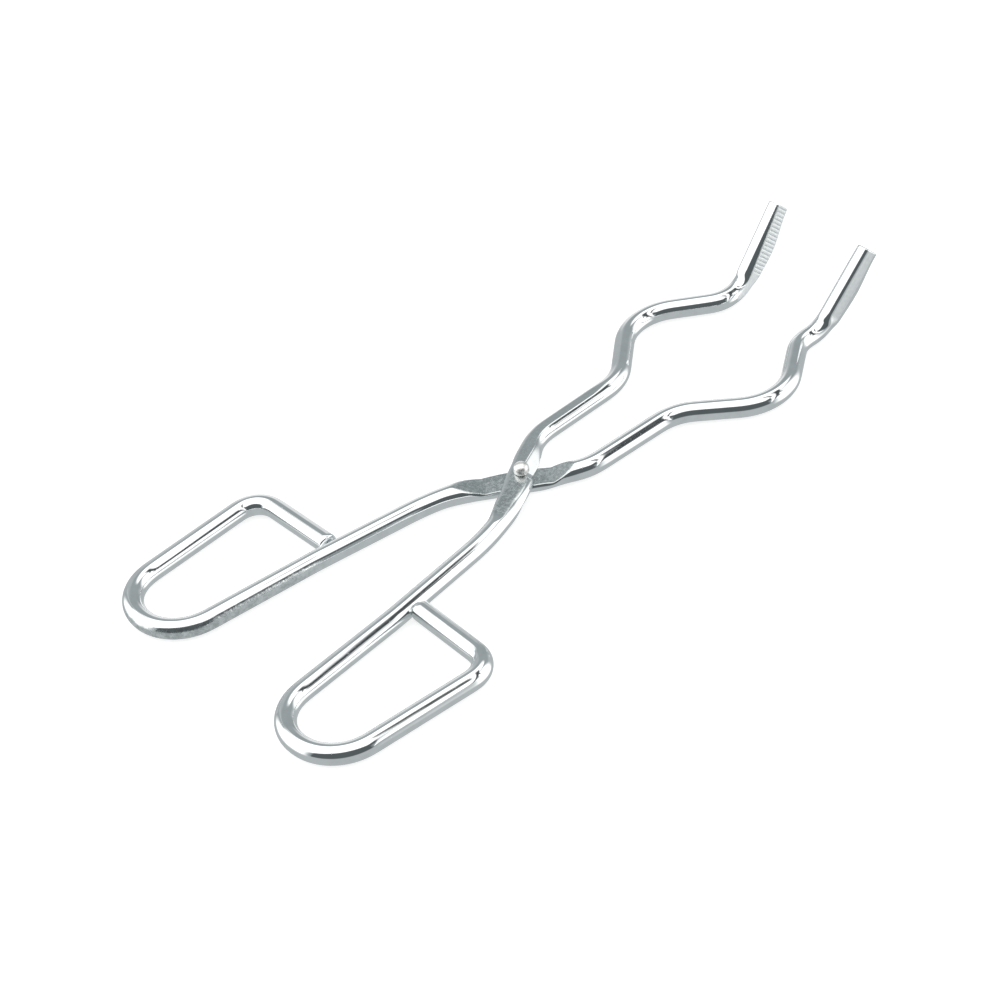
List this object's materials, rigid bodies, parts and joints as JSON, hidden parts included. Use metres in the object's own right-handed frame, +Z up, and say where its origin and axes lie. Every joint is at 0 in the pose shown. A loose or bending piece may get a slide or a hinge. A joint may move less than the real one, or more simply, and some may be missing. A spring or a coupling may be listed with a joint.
{
  "type": "crucible tongs",
  "caption": "Scissor-action crucible tongs bent from round rod, with closed finger loops, a bow for the crucible and serrated tips turned up.",
  "frame": {"origin": "centre of the tongs' box on the bench that they lie on, with the jaws part open", "axes": "+X from the finger loops to the tips, +Y towards the lower arm's finger loop, +Z up from the bench, the way the tips turn"},
  "size_m": [0.2501, 0.114, 0.0258],
  "materials": {
    "plated_arms": "bright plated, polished",
    "rivet": "bright steel, polished"
  },
  "bodies": {
    "lower_body": {"lower_arm": "plated_arms", "pivot_rivet": "rivet"},
    "upper_body": {"upper_arm": "plated_arms"}
  },
  "joints": [
    {"name": "pivot", "type": "hinge", "parent": "lower_body", "child": "upper_body", "pos_m": [-0.00748, 0, 0.00317], "axis": [0, 0, 1], "range_deg": [-14.9, 50]}
  ]
}
